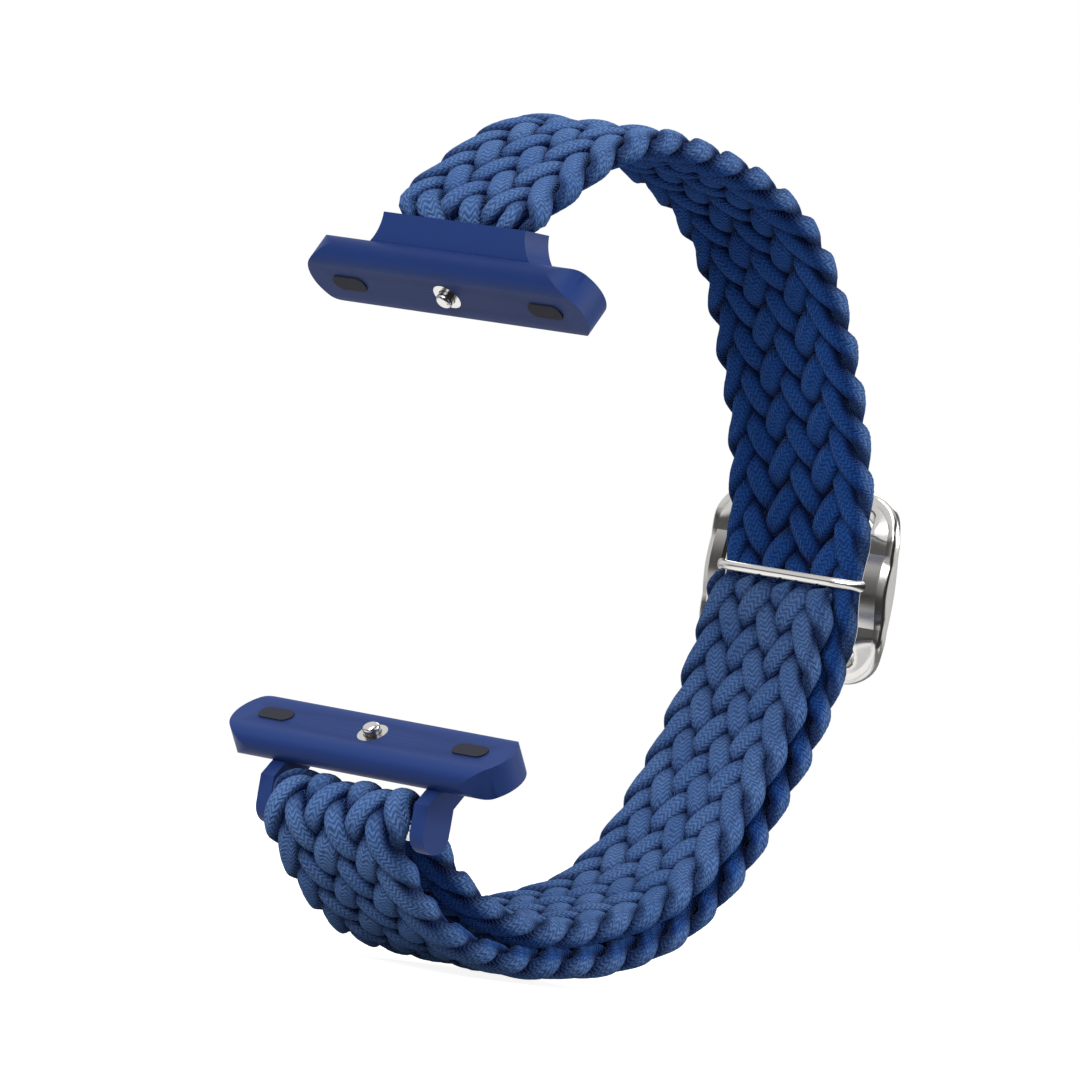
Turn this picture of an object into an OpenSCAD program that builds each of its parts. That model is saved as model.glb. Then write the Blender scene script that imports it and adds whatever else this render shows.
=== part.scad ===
// Woven watch strap: one flat braid, two slide-in lug connectors and a sliding metal adjuster.
// The loop lies in the YZ plane, +X runs across the strap and +Z along the height of the case.
// The origin is the middle of the upper lug head.

/* [Loop] */
// Radius of the braid's middle line behind the wrist
loop_r = 32; // [31:0.5:36]
// How far the loop swells out above and below its back
swell = 1.6; // [0:0.1:2]
// How far the top and the bottom of the loop lie outside the circle of its back
crown = 0.4; // [0:0.1:0.8]
// Distance from the lug slots back to the middle of the loop
loop_back = 14.5; // [13.5:0.5:16.5]
// Distance between the two lug slots of the case
slot_gap = 36.2; // [35.2:0.2:38.2]
// How far the loop hangs below the level midway between the slots
loop_sag = 0.5; // [0:0.1:1]

/* [Braid] */
// Full width of the braid at the upper connector
braid_top_w = 15.2; // [14.6:0.1:15.4]
// Full width of the braid where the slider grips it
braid_w = 13.6; // [13:0.1:13.8]
// Full width of the inner run, which is pulled longer and narrower
inner_w = 12.9; // [12.4:0.1:13.4]
// Thickness of the braid between the slider's bars and where it lies doubled
braid_t = 2.15; // [2.1:0.05:2.4]
// Thickness of the braid above the slider, where nothing presses it
free_t = 2.7; // [2.5:0.05:2.8]
// Number of strands, each passing over two and under two
strands = 13; // [9:4:17]
// Distance from one edge loop to the next
edge_pitch = 3.9; // [3:0.1:5]
// How far each edge loop stands out
edge_bump = 0.35; // [0.1:0.05:0.45]
// How deep the gaps between the stitches are
stitch_gap = 0.5; // [0.2:0.05:0.6]
// Gap between the outer run and the inner run of the doubled part
run_gap = 0.3; // [0.3:0.05:0.6]

/* [Slider] */
// Full width of the slider frame
slider_w = 19.4; // [19:0.1:20.4]
// Height of the slider frame along the strap
slider_h = 15.6; // [14.8:0.1:16.4]
// Inside width of the slider's two windows
window_w = 14.5; // [14.4:0.1:14.8]
// Width of the top and bottom bars
end_bar = 1.6; // [1.3:0.1:2]
// Diameter of the round middle bar
mid_bar = 0.65; // [0.5:0.05:0.7]
// Place of the slider round the loop, in degrees above the level of its middle
slider_angle = 1.5; // [-8:0.5:8]

/* [Lug heads] */
// Length of each lug head
head_len = 28.4; // [27:0.2:30]
// Width of the lug head's oval section
head_w = 6.4; // [6:0.1:7]
// Thickness of the lug head's oval section
head_t = 2.6; // [2.5:0.1:3]
// Lean of the lug heads, in degrees
head_lean = 35; // [25:1:40]
// Thickness of the neck that leaves the slot
neck_t = 2.8; // [2.6:0.1:3.2]

/* [Upper connector] */
// Height of the neck above the middle of the lug head
neck_h = 4.8; // [4.4:0.1:5.6]
// Width of the neck at its top edge
neck_w = 14.8; // [14.4:0.1:15.4]
// Depth of the socket for the braid's sealed end
socket_depth = 2.2; // [1.6:0.1:2.4]

/* [Lower connector] */
// Distance from the middle of the lug head down to the cross bar
bar_drop = 5.8; // [5.6:0.1:6.6]
// Distance that the cross bar sits in front of the lug head
bar_front = 1.4; // [1:0.1:1.8]
// Distance between the two ears
ear_gap = 14.8; // [14.7:0.1:15.4]
// Thickness of each ear
ear_t = 1.4; // [1.3:0.1:1.8]
// Radius of each ear's round end
ear_r = 1.5; // [1.4:0.05:1.8]
// Outside diameter of the cross bar
bar_d = 1.5; // [1.4:0.1:1.7]

/* [Hidden] */
$fn = 64;
body_blue = [0.14, 0.20, 0.42];
braid_blue = [0.20, 0.32, 0.55];
steel = [0.75, 0.76, 0.78];
spring_grey = [0.55, 0.56, 0.58];
rubber = [0.08, 0.09, 0.12];

// The stitches on each face stand in this many columns, and the first edge notch lies here
columns = (strands - 1) / 2;
notch = 0.85;
edge_round = 0.985;

// Middle of the loop, of the lower lug head and of the cross bar, each as [y, z]
loop_c = [loop_back, -slot_gap / 2 - loop_sag];
low_c = [0, -slot_gap];
bar_c = low_c + [-bar_front, -bar_drop];

// Braid route: the exit bend, a shoulder arc, the round back, the front arc, then the turn
step = edge_pitch / 4;
exit_r = 2;
exit_a = 128;
shoulder_a = 86;
front_a = -100;
swell_a0 = 27;
swell_a1 = 56.5;
turn_r = bar_d / 2 + 0.05 + braid_t / 2;
exit_c = [exit_r, neck_h];
exit_p = exit_c + exit_r * dir(exit_a);
shoulder_p = loop_c + (loop_r + crown) * dir(shoulder_a);
// The shoulder arc meets the loop at shoulder_p and a short straight at the exit
span = shoulder_p - exit_p;
dn = dir(exit_a) - dir(shoulder_a);
along = [sin(exit_a), -cos(exit_a)];
shoulder_r = -cross2(span, along) / cross2(dn, along);
straight = (span * along) + shoulder_r * (dn * along);
shoulder_c = shoulder_p - shoulder_r * dir(shoulder_a);
// The front arc touches the loop and the turn from inside
front_p = loop_c + (loop_r + crown) * dir(front_a);
front_w = bar_c - front_p;
front_r = (pow(turn_r, 2) - front_w * front_w) / (2 * (front_w * dir(front_a) + turn_r));
front_c = front_p - front_r * dir(front_a);
turn_a0 = atan2(bar_c[1] - front_c[1], bar_c[0] - front_c[0]);
// The inner run goes round the loop inside the outer one and meets the turn on its far side
inner_r = loop_r - braid_t - run_gap;
lean_in_a = -75;
inner_crown = crown + 0.25 * (swell - crown);
inner_p = loop_c + (inner_r + inner_crown) * dir(lean_in_a);
inner_v = bar_c - inner_p;
sweep_r = (pow(turn_r, 2) - inner_v * inner_v) / (2 * (inner_v * dir(lean_in_a) - turn_r));
sweep_c = inner_p - sweep_r * dir(lean_in_a);
turn_a1 = atan2(sweep_c[1] - bar_c[1], sweep_c[0] - bar_c[0]) - 360;
inner_end_a = slider_angle - asin((mid_bar / 2 + 0.05) / inner_r);

len_exit = exit_r * (180 - exit_a) * PI / 180;
len_shoulder = shoulder_r * (exit_a - shoulder_a) * PI / 180;
len_back = (loop_r + swell / 2) * (shoulder_a - front_a) * PI / 180;
s_grip = len_exit + straight + len_shoulder + loop_r * (shoulder_a - slider_angle) * PI / 180;

// Slider: clearance to the braid, and the faces of its rails, measured out from the braid's middle:
// at the end bars, at the slim lobes and at the middle, which bows towards the wrist
grip = 0.08;
end_front = 0.5;
end_back = 1.7;
lobe_front = -0.1;
lobe_back = 1.1;
mid_front = -0.5;
mid_back = 1.3;
lobe_z = 3.9;
corner_r = 4.2;
window_r = 2.6;
bar_y = -braid_t / 2 - grip - mid_bar / 2;

// Cross bar: a tube with two sprung ends
tube_l = ear_gap - 0.6;
tube_bore = bar_d - 0.4;
tip_d = 0.7;
collar_d = tube_bore - 0.08;
collar_x = tube_l / 2 - 1.1;

// Latch in each lug head
latch_bore = 2.1;
latch_nose = 1.4;
latch_out = 0.7;
keeper_d = 2.5;
keeper_t = 0.4;
latch_end = head_t / 2 - 0.35;
pad_x = head_len / 2 - 4;

function dir(a) = [cos(a), sin(a)];
function cross2(a, b) = a[0] * b[1] - a[1] * b[0];
function mix(a, b, k) = a + (b - a) * min(1, max(0, k));
function ease(k) = (1 - cos(180 * min(1, max(0, k)))) / 2;

// One stop of the braid's route is [y, z, normal y, normal z, distance]
function arc_stops(c, r, a0, a1, s0, out) =
  let(run = abs(a1 - a0) * PI / 180 * r, n = max(3, round(run / step)))
  [for (i = [0 : n - 1])
    let(a = a0 + (a1 - a0) * i / n)
    [c[0] + r * cos(a), c[1] + r * sin(a), out * cos(a), out * sin(a), s0 + run * i / n]];

function line_stops(p, a, run, s0) =
  let(n = max(1, round(run / step)))
  [for (i = [0 : n - 1])
    [p[0] + sin(a) * run * i / n, p[1] - cos(a) * run * i / n, cos(a), sin(a), s0 + run * i / n]];

// How far the loop lies outside the circle of its back, at an angle up to stop, where it is low
function swell_at(a, low, stop) =
  let(b = abs(a))
  b < swell_a1
    ? swell * ease((b - swell_a0) / (swell_a1 - swell_a0))
    : mix(swell, low, ease((b - swell_a1) / (stop - swell_a1)));

function loop_stops(r, a0, a1, s0, out, low, stop) =
  let(run = abs(a1 - a0) * PI / 180 * (r + swell / 2), n = round(run / step))
  [for (i = [0 : n - 1])
    let(
      a = a0 + (a1 - a0) * i / n,
      d = r + swell_at(a, low, stop),
      rise = (swell_at(a + 0.5, low, stop) - swell_at(a - 0.5, low, stop)) * 180 / PI,
      u = (d * dir(a) + rise * [sin(a), -cos(a)]) / norm([d, rise])
    )
    [loop_c[0] + d * cos(a), loop_c[1] + d * sin(a), out * u[0], out * u[1], s0 + run * i / n]];

// How many pitches of the braid lie before a distance along it
function laid(s) = (s + notch) / edge_pitch;
function bump(s, phase) = edge_bump * (abs(sin(180 * (laid(s) + phase))) - 0.6);

// Place across the braid from -1 to 1: odd steps are the middles of the columns of stitches,
// even steps the gaps between them, and the last step on each side is the edge
function across(i) =
  let(n = abs(i))
  sign(i) * (n <= columns - 2 ? 2 * n / strands : 1 - 2.5 * (columns - n) / strands);

// Turn of a strand's own cycle, out and back again, at which it passes a place across the braid
function cycle(a) = acos(-sin(a * asin(edge_round)) / edge_round) / 360;

// How far along, in pitches, the stitches of column i have their middles; face is 1 above, -1 below
function stitch_at(i, face) =
  let(outward = face * (((i + columns - 1) / 2) % 2 == 0 ? 1 : -1), c = cycle(across(i)))
  strands * (outward > 0 ? c : 1 - c);

// Height of one face of the braid above its middle
function face_h(i, s, t, deep, face) =
  abs(i) % 2 == 0
    ? t / 2 - deep
    : t / 2 - 0.6 * deep * pow(sin(180 * (laid(s) - stitch_at(i, face))), 2);

// Section of the braid as points in space; w is half the width before the edge loops
function section(p, w, t, wave) =
  let(
    right = w + wave * bump(p[4], 0),
    left = w + wave * bump(p[4], 0.5),
    deep = wave * stitch_gap,
    turn = t * [0.18, 0.38],
    inside = [for (i = [columns - 1 : -1 : 1 - columns]) i],
    upper = [for (i = inside) [across(i) * (w - t / 4), face_h(i, p[4], t, deep, 1)]],
    lower = [for (i = inside) [-across(i) * (w - t / 4), -face_h(-i, p[4], t, deep, -1)]],
    right_edge = [[right - turn[0], -turn[1]], [right, 0], [right - turn[0], turn[1]]],
    left_edge = [[turn[0] - left, turn[1]], [-left, 0], [turn[0] - left, -turn[1]]]
  )
  [for (q = concat(right_edge, upper, left_edge, lower))
    [q[0], p[0] + p[2] * q[1], p[1] + p[3] * q[1]]];

function reversed(row) = [for (k = [len(row) - 1 : -1 : 0]) row[k]];

module skin(rows) {
  m = len(rows[0]);
  n = len(rows);
  points = [for (row = rows, p = row) p];
  sides = [for (i = [0 : n - 2], k = [0 : m - 1])
    let(a = i * m + k, b = i * m + (k + 1) % m)
    each [[a, b, a + m], [b, b + m, a + m]]];
  // Each end is closed by a fan from the row's last point but one, which lies on its widest line
  start = [for (k = [0 : m - 3]) [m - 2, (m - 1 + k + 1) % m, (m - 1 + k) % m]];
  end = [for (k = [0 : m - 3])
    [n * m - 2, (n - 1) * m + (m - 1 + k) % m, (n - 1) * m + (m - 1 + k + 1) % m]];
  polyhedron(points, concat(sides, start, end), convexity = 6);
}

module coil(r, wire, x0, x1, turns) {
  seg = 8;
  n = round(turns * seg);
  rows = [for (i = [0 : n])
    let(a = 360 * i / seg, x = mix(x0 + wire / 2, x1 - wire / 2, i / n))
    [for (k = [0 : 5])
      let(q = 60 * k, d = r + wire / 2 * cos(q))
      [d * cos(a), d * sin(a), x + wire / 2 * sin(q)]]];
  skin([for (row = rows) reversed(row)]);
}

// Draws a [y, z] outline and carries it along X
module along_x(l) {
  rotate([90, 0, 90]) linear_extrude(l, center = true) children();
}

// Draws an [x, z] outline and carries it along Y
module along_y(l) {
  rotate([90, 0, 0]) linear_extrude(l, center = true) children();
}

// Part of a ring about the X axis
module ring(r_in, r_out, half_x, a0, a1) {
  rotate([a0, 0, 0])
    rotate([0, 90, 0])
      rotate([0, 0, 90])
        rotate_extrude(angle = a1 - a0, $fn = 180)
          translate([r_in, -half_x])
            square([r_out - r_in, 2 * half_x]);
}

module oval(l, w) {
  square([l - w, w], center = true);
  for (side = [-1, 1]) translate([side * (l - w) / 2, 0]) circle(d = w);
}

// Rectangle with round corners
module window(w, h, r) {
  square([w, h - 2 * r], center = true);
  square([w - 2 * r, h], center = true);
  for (side = [-1, 1], end = [-1, 1]) translate([side * (w / 2 - r), end * (h / 2 - r)]) circle(r = r);
}

// Places a latch part on the lug head's own axis, where +Z points out of the slot
module upper_axis() {
  rotate([-head_lean, 0, 0]) children();
}

module lower_axis() {
  translate([0, low_c[0], low_c[1]]) rotate([180 + head_lean, 0, 0]) children();
}

// Lug head on its own axis: an oval bar with rounded ends, the latch bore and two pad seats
module lug_head() {
  difference() {
    intersection() {
      along_x(head_len) oval(head_w, head_t);
      linear_extrude(head_t + 2, center = true) oval(head_len, head_w);
    }
    translate([0, 0, -head_t / 2 - 1]) cylinder(d = keeper_d, h = keeper_t + 1);
    translate([0, 0, -head_t / 2]) cylinder(d = latch_bore, h = latch_end + head_t / 2);
    for (side = [-1, 1])
      translate([side * pad_x, 0, -head_t / 2 - 1]) linear_extrude(1.35) oval(3.4, 1.5);
  }
}

module latch_pin() {
  color(steel)
    rotate_extrude()
      difference() {
        union() {
          translate([0, -head_t / 2 - latch_out]) square([latch_nose / 2, latch_out + keeper_t + 0.1]);
          translate([0, -head_t / 2 + keeper_t + 0.02]) square([latch_bore / 2 - 0.05, 0.38]);
          translate([0, -head_t / 2 + keeper_t]) square([0.45, 0.8]);
        }
        translate([latch_nose / 2 - 0.3, -head_t / 2 - latch_out - 0.01])
          difference() {
            square(0.31);
            translate([0, 0.3]) circle(r = 0.3);
          }
      }
}

module latch_spring() {
  color(spring_grey) coil(0.82, 0.2, -head_t / 2 + keeper_t + 0.41, latch_end - 0.01, 3.5);
}

module latch_keeper() {
  color(steel)
    translate([0, 0, -head_t / 2])
      difference() {
        cylinder(d = keeper_d - 0.02, h = keeper_t);
        translate([0, 0, -1]) cylinder(d = latch_nose + 0.1, h = keeper_t + 2);
      }
}

module grip_pad(side) {
  color(rubber)
    translate([side * pad_x, 0, -head_t / 2 - 0.12]) linear_extrude(0.46) oval(3.36, 1.46);
}

// Neck outline: straight top edge, hollow flares down to the full length of the head
module neck_outline(w, top, flare) {
  translate([-w / 2, 0]) square([w, top]);
  difference() {
    translate([-w / 2 - flare, 0]) square([w + 2 * flare, top]);
    for (side = [-1, 1]) translate([side * (w / 2 + flare), top]) circle(r = flare);
    for (side = [-1, 1]) translate([side * (w / 2 + flare + 5), top / 2]) square([10, top + 1], center = true);
  }
}

module upper_connector() {
  color(body_blue)
    difference() {
      union() {
        upper_axis() lug_head();
        difference() {
          along_y(neck_t) neck_outline(neck_w, neck_h, 3.6);
          upper_axis() translate([0, 0, latch_end - 5]) cube([40, 20, 10], center = true);
        }
      }
      translate([0, 0, neck_h - socket_depth / 2 + 0.5]) cube([12.9, 1.74, socket_depth + 1], center = true);
    }
}

module upper_latch_pin() {
  upper_axis() latch_pin();
}

module upper_latch_spring() {
  upper_axis() latch_spring();
}

module upper_latch_keeper() {
  upper_axis() latch_keeper();
}

module upper_pad_left() {
  upper_axis() grip_pad(-1);
}

module upper_pad_right() {
  upper_axis() grip_pad(1);
}

// Ear outline from the head down to the cross bar, as seen from the side
module ear_outline() {
  translate([-bar_front, -bar_drop]) circle(r = ear_r);
  polygon([
    [neck_t / 2, 0],
    [-neck_t / 2, 0],
    [-neck_t / 2, -1.9],
    [-bar_front - ear_r, -3.6],
    [-bar_front - ear_r, -bar_drop],
    [-bar_front + ear_r, -bar_drop],
    [-bar_front + ear_r, -3.6],
    [neck_t / 2, -2.1]
  ]);
}

module lower_connector() {
  ear_x = (ear_gap + ear_t) / 2;
  color(body_blue)
    difference() {
      union() {
        lower_axis() lug_head();
        translate([0, low_c[0], low_c[1]])
          difference() {
            mirror([0, 0, 1]) along_y(neck_t) neck_outline(ear_gap + 2 * ear_t, 2.2, 2.2);
            rotate([180 + head_lean, 0, 0])
              translate([0, 0, latch_end - 5]) cube([40, 20, 10], center = true);
          }
        for (side = [-1, 1])
          translate([side * ear_x, low_c[0], low_c[1]])
            difference() {
              along_x(ear_t) ear_outline();
              rotate([180 + head_lean, 0, 0]) translate([0, 0, -4.5]) cube([10, 20, 10], center = true);
            }
      }
      translate([0, bar_c[0], bar_c[1]])
        rotate([0, 90, 0]) cylinder(d = tip_d + 0.1, h = ear_gap + 2.1, center = true);
    }
}

module lower_latch_pin() {
  lower_axis() latch_pin();
}

module lower_latch_spring() {
  lower_axis() latch_spring();
}

module lower_latch_keeper() {
  lower_axis() latch_keeper();
}

module lower_pad_left() {
  lower_axis() grip_pad(-1);
}

module lower_pad_right() {
  lower_axis() grip_pad(1);
}

module bar_tube() {
  color(steel)
    translate([0, bar_c[0], bar_c[1]])
      rotate([0, 90, 0])
        difference() {
          cylinder(d = bar_d, h = tube_l, center = true);
          cylinder(d = tube_bore, h = 2 * collar_x + 1.3, center = true);
          cylinder(d = tip_d + 0.1, h = tube_l + 2, center = true);
        }
}

// Sprung end of the cross bar, drawn along +Z from the middle of the bar
module plunger() {
  rotate_extrude()
    union() {
      translate([0, collar_x]) square([collar_d / 2, 0.6]);
      translate([0, collar_x + 0.3]) square([tip_d / 2, ear_gap / 2 + 0.95 - collar_x - 0.3]);
    }
}

module bar_plunger_left() {
  color(steel) translate([0, bar_c[0], bar_c[1]]) rotate([0, -90, 0]) plunger();
}

module bar_plunger_right() {
  color(steel) translate([0, bar_c[0], bar_c[1]]) rotate([0, 90, 0]) plunger();
}

module bar_spring() {
  color(spring_grey)
    translate([0, bar_c[0], bar_c[1]])
      rotate([0, 90, 0])
        coil(collar_d / 2 - 0.13, 0.2, -collar_x + 0.01, collar_x - 0.01, 16);
}

function half_w(s) = mix(braid_top_w, braid_w, s / s_grip) / 2;

// The braid is pressed thinner wherever the slider can travel, and from there on
press_from = s_grip - 27;
press_run = 9;
function thick(s) = mix(free_t, braid_t, ease((s - press_from) / press_run));

through_stops = let(
  s1 = len_exit,
  s2 = s1 + straight,
  s3 = s2 + len_shoulder,
  s4 = s3 + len_back,
  s5 = s4 + front_r * (front_a - turn_a0) * PI / 180
) concat(
  arc_stops(exit_c, exit_r, 178, exit_a, 0.05, 1),
  line_stops(exit_p, exit_a, straight, s1),
  arc_stops(shoulder_c, shoulder_r, exit_a, shoulder_a, s2, 1),
  loop_stops(loop_r, shoulder_a, front_a, s3, 1, crown, 86),
  arc_stops(front_c, front_r, front_a, turn_a0, s4, 1),
  arc_stops(bar_c, turn_r, turn_a0, turn_a1, s5, 1),
  [concat(bar_c + turn_r * dir(turn_a1), dir(turn_a1), [s5 + turn_r * (turn_a0 - turn_a1) * PI / 180])]
);

// The braid from its sealed end in the upper connector round the back to the turn on the bar
module strap() {
  tab = [for (k = [0 : 2])
    section([0, neck_h - socket_depth + 0.05 + k * (socket_depth - 0.1) / 2, -1, 0, 0], 6.4, 1.7, 0)];
  run = [for (p = through_stops)
    section(p, half_w(p[4]) - 0.8 * pow(1 - min(1, p[4] / 1.2), 2), thick(p[4]), min(1, p[4] / 2))];
  color(braid_blue) skin([for (row = concat(tab, run)) reversed(row)]);
}

inner_stops = let(
  s0 = through_stops[len(through_stops) - 1][4],
  s1 = s0 + sweep_r * (360 + lean_in_a - turn_a1 - 540) * PI / 180,
  s2 = s1 + (inner_end_a - lean_in_a) * PI / 180 * (inner_r + swell / 2)
) concat(
  arc_stops(sweep_c, sweep_r, turn_a1 + 540 + 0.15, 360 + lean_in_a, s0, -1),
  loop_stops(inner_r, lean_in_a, inner_end_a, s1, -1, inner_crown, -lean_in_a),
  [concat(loop_c + inner_r * dir(inner_end_a), -dir(inner_end_a), [s2])]
);

// The braid from the bar back up inside the loop to the slider's middle bar
module strap_inner_run() {
  run = [for (p = inner_stops) section(p, inner_w / 2, braid_t, 1)];
  color(braid_blue) skin([for (row = run) reversed(row)]);
}

// Side view of the slider's rails: the ends lie outside the braid, the middle bows to the wrist
function rail(z, middle, lobe, end) =
  let(s = abs(z), rise = (slider_h / 2 - end_bar - lobe_z) * 0.8)
  s < lobe_z
    ? mix(middle, lobe, ease((s - 2.2) / 1.5))
    : mix(lobe, end, ease((s - lobe_z - 0.3) / rise));
function rail_front(z) = rail(z, mid_front, lobe_front, end_front);
function rail_back(z) = rail(z, mid_back, lobe_back, end_back);

module rail_profile() {
  half = slider_h / 2;
  polygon(concat(
    [for (i = [-24 : 24]) [rail_front(half * i / 24), half * i / 24]],
    [for (i = [24 : -1 : -24]) [rail_back(half * i / 24), half * i / 24]]
  ));
}

// Round bar whose ends turn down into the rails
module middle_bar() {
  end_x = window_w / 2 + mid_bar / 2 + 0.15;
  translate([0, loop_r + bar_y, 0]) {
    rotate([0, 90, 0]) cylinder(d = mid_bar, h = 2 * end_x, center = true);
    for (side = [-1, 1])
      translate([side * end_x, 0, 0]) {
        sphere(d = mid_bar);
        rotate([-90, 0, 0]) cylinder(d = mid_bar, h = mid_front - bar_y + 0.5);
      }
  }
}

module slider_frame() {
  color(steel)
    translate([0, loop_c[0], loop_c[1]])
      rotate([slider_angle, 0, 0]) {
        difference() {
          translate([0, loop_r, 0])
            intersection() {
              along_x(slider_w + 2) rail_profile();
              along_y(20)
                difference() {
                  window(slider_w, slider_h, corner_r);
                  window(window_w, slider_h - 2 * end_bar, window_r);
                }
            }
          ring(loop_r - braid_t / 2 - grip, loop_r + braid_t / 2 + grip, window_w / 2, -25, 25);
        }
        middle_bar();
        // Tongue that carries the end of the inner run, between the two runs
        ring(inner_r + braid_t / 2 + 0.02, loop_r - braid_t / 2 - grip - 0.02, 6.2, -5.6, 0);
      }
}

upper_connector();
upper_latch_pin();
upper_latch_spring();
upper_latch_keeper();
upper_pad_left();
upper_pad_right();
strap();
strap_inner_run();
slider_frame();
lower_connector();
lower_latch_pin();
lower_latch_spring();
lower_latch_keeper();
lower_pad_left();
lower_pad_right();
bar_tube();
bar_plunger_left();
bar_plunger_right();
bar_spring();
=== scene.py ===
import bpy
import bmesh
import math
from functools import reduce
import numpy as np
from mathutils import Vector, Matrix


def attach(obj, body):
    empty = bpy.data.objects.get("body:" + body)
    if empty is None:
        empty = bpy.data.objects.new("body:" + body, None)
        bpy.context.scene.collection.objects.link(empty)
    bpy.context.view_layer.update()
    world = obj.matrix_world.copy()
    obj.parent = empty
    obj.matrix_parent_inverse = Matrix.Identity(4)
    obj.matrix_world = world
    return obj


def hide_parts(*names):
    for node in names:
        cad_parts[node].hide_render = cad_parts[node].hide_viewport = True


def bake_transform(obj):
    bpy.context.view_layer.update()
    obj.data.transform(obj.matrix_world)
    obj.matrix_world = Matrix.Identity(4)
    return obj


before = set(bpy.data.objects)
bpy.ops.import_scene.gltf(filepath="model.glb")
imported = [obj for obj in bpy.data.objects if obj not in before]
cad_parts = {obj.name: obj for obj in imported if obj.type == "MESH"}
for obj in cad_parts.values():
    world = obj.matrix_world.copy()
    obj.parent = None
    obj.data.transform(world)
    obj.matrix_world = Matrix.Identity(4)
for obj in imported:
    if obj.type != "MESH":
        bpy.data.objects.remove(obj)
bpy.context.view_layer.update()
mm = 0.001
print("frame loaded")


# shader helpers
class Signal:
    # one socket of a material, so that shader maths reads as plain maths
    def __init__(self, graph, socket):
        self.graph = graph
        self.socket = socket

    def calc(self, operation, *values):
        return self.graph.add("ShaderNodeMath", {"operation": operation}, dict(enumerate(values)))

    def __add__(self, other):
        return self.calc("ADD", self, other)

    def __sub__(self, other):
        return self.calc("SUBTRACT", self, other)

    def __rsub__(self, other):
        return self.calc("SUBTRACT", other, self)

    def __mul__(self, other):
        return self.calc("MULTIPLY", self, other)

    def __truediv__(self, other):
        return self.calc("DIVIDE", self, other)

    def __rtruediv__(self, other):
        return self.calc("DIVIDE", other, self)

    __radd__ = __add__
    __rmul__ = __mul__

    def sin(self):
        return self.calc("SINE", self)

    def arccos(self):
        return self.calc("ARCCOSINE", self)

    def abs(self):
        return self.calc("ABSOLUTE", self)

    def most(self, other):
        return self.calc("MAXIMUM", self, other)

    def between(self, low, high, toLow=0.0, toHigh=1.0):
        # a smooth step from toLow at low to toHigh at high
        inputs = {0: self, 1: low, 2: high, 3: toLow, 4: toHigh}
        return self.graph.add("ShaderNodeMapRange", {"interpolation_type": "SMOOTHSTEP"}, inputs)


class Graph:
    # a node tree under construction
    def __init__(self, tree):
        self.tree = tree
        tree.nodes.clear()

    def put(self, socket, value):
        if isinstance(value, Signal):
            self.tree.links.new(value.socket, socket)
        else:
            socket.default_value = value

    def add(self, kind, settings=None, inputs=None, out=0):
        node = self.tree.nodes.new(kind)
        for key, value in (settings or {}).items():
            setattr(node, key, value)
        for key, value in (inputs or {}).items():
            self.put(node.inputs[key], value)
        return Signal(self, node.outputs[out]) if node.outputs else node

    def blend(self, mask, first, second, mode="MIX"):
        # sockets 6 and 7 are the node's two colours
        settings = {"data_type": "RGBA", "blend_type": mode}
        return self.add("ShaderNodeMix", settings, {0: mask, 6: first, 7: second}, out=2)

    def choose(self, mask, first, second):
        return self.add("ShaderNodeMixShader", None, {0: mask, 1: first, 2: second})

    def ray(self, kind):
        # 1 for rays of the named kind, such as camera or glossy
        return self.add("ShaderNodeLightPath", out=f"Is {kind} Ray")

    def toward(self, way, axis):
        # how far a direction, or a place, lies along an axis
        settings = {"operation": "DOT_PRODUCT"}
        return self.add("ShaderNodeVectorMath", settings, {0: way, 1: axis}, out="Value")


class Finish(Graph):
    # a material; fixed shader values go straight on the shader's sockets
    def __init__(self, name, **fixed):
        self.material = bpy.data.materials.new(name)
        self.material.use_nodes = True
        super().__init__(self.material.node_tree)
        self.shader = self.tree.nodes.new("ShaderNodeBsdfPrincipled")
        self.out = self.tree.nodes.new("ShaderNodeOutputMaterial")
        self.tree.links.new(self.shader.outputs[0], self.out.inputs["Surface"])
        for socketName, value in fixed.items():
            self.shader.inputs[socketName.replace("_", " ")].default_value = value

    def feed(self, socketName, signal):
        self.put(self.shader.inputs[socketName], signal)

    def measure(self, name):
        return self.add("ShaderNodeAttribute", {"attribute_name": name}, out="Fac")

    def place(self):
        return self.add("ShaderNodeTexCoord", out="Object")

    def noise(self, vector, scale, detail, rough=0.5):
        inputs = {"Vector": vector, "Scale": scale, "Detail": detail, "Roughness": rough}
        return self.add("ShaderNodeTexNoise", {"noise_dimensions": "3D"}, inputs)

    def bump(self, height, depth, after=None):
        inputs = {"Height": height, "Distance": depth * mm, "Strength": 1.0}
        if after:
            inputs["Normal"] = after
        return self.add("ShaderNodeBump", None, inputs)


def tint(r, g, b):
    # a colour as seen on screen, 0 to 255, turned into the shader's linear values
    line = [c / 255 / 12.92 if c <= 10 else ((c / 255 + 0.055) / 1.055) ** 2.4 for c in (r, g, b)]
    return (*line, 1.0)


# helpers for shapes
def ease(k):
    k = np.clip(k, 0, 1)
    return k * k * (3 - 2 * k)


def rise(x, start, reach):
    # from 0 at start to 1 after reach
    return ease((x - start) / reach)


def bellAt(x, middle, reach):
    return np.exp(-((x - middle) / reach) ** 2)


def mixed(a, b, k):
    return a + (b - a) * float(np.clip(k, 0, 1))


def addObject(name, data):
    thing = bpy.data.objects.new(name, data)
    bpy.context.collection.objects.link(thing)
    return thing


def dress(piece, finish, node):
    piece.data.materials.append(finish.material)
    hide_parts(node)


def tubeFaces(start, rings, sides, closed):
    # quads between rings of points; a closed tube comes round to its first ring
    faces = []
    for i in range(rings if closed else rings - 1):
        here, there = start + i * sides, start + (i + 1) % rings * sides
        for k in range(sides):
            j = (k + 1) % sides
            faces.append((here + k, here + j, there + j, there + k))
    return faces


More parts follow.
